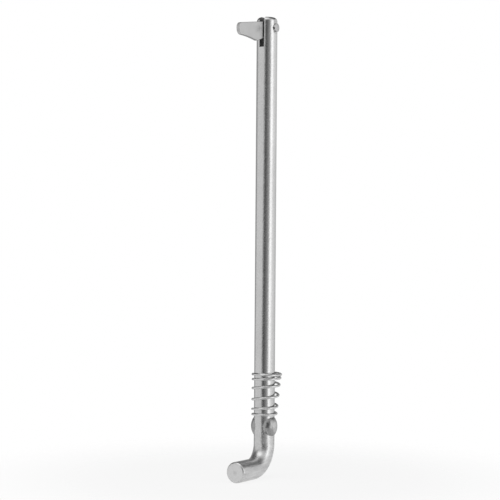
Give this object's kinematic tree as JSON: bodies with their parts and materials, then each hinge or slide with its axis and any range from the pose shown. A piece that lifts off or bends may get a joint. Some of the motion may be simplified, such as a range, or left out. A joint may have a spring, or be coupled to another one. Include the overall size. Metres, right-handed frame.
{
  "type": "cane bolt",
  "caption": "Bent-handle locking bolt: a round bar with a conical spring against pinched ears and a swinging flat toggle riveted in its slotted tip",
  "frame": {"origin": "on the bar's axis, level with the free end of the spring, where the bar's free length starts", "axes": "+Z along the bar to its tip; the handle and the toggle at rest point to -Y; the rivet lies along X"},
  "size_m": [0.0188, 0.0436, 0.2823],
  "materials": {
    "bar_steel": "bright drawn round bar, lightly polished, with a fine speckle",
    "rivet_steel": "bright steel, peened slightly domed",
    "toggle_steel": "stamped plate, satin from tumbling",
    "spring_steel": "drawn spring wire, satin"
  },
  "bodies": {
    "bar": {"bar": "bar_steel", "rivet": "rivet_steel"},
    "toggle": {"toggle": "toggle_steel"},
    "spring": {"spring": "spring_steel"}
  },
  "joints": [
    {"name": "toggle_swing", "type": "hinge", "parent": "bar", "child": "toggle", "pos_m": [0, 0, 0.2106], "axis": [-1, 0, 0], "range_deg": [-22, 230]},
    {"name": "spring_press", "type": "slide", "parent": "bar", "child": "spring", "axis": [0, 0, -1], "range_m": [0, 0.015], "stiffness_N_per_m": 2500, "deforming": ["spring"]}
  ]
}
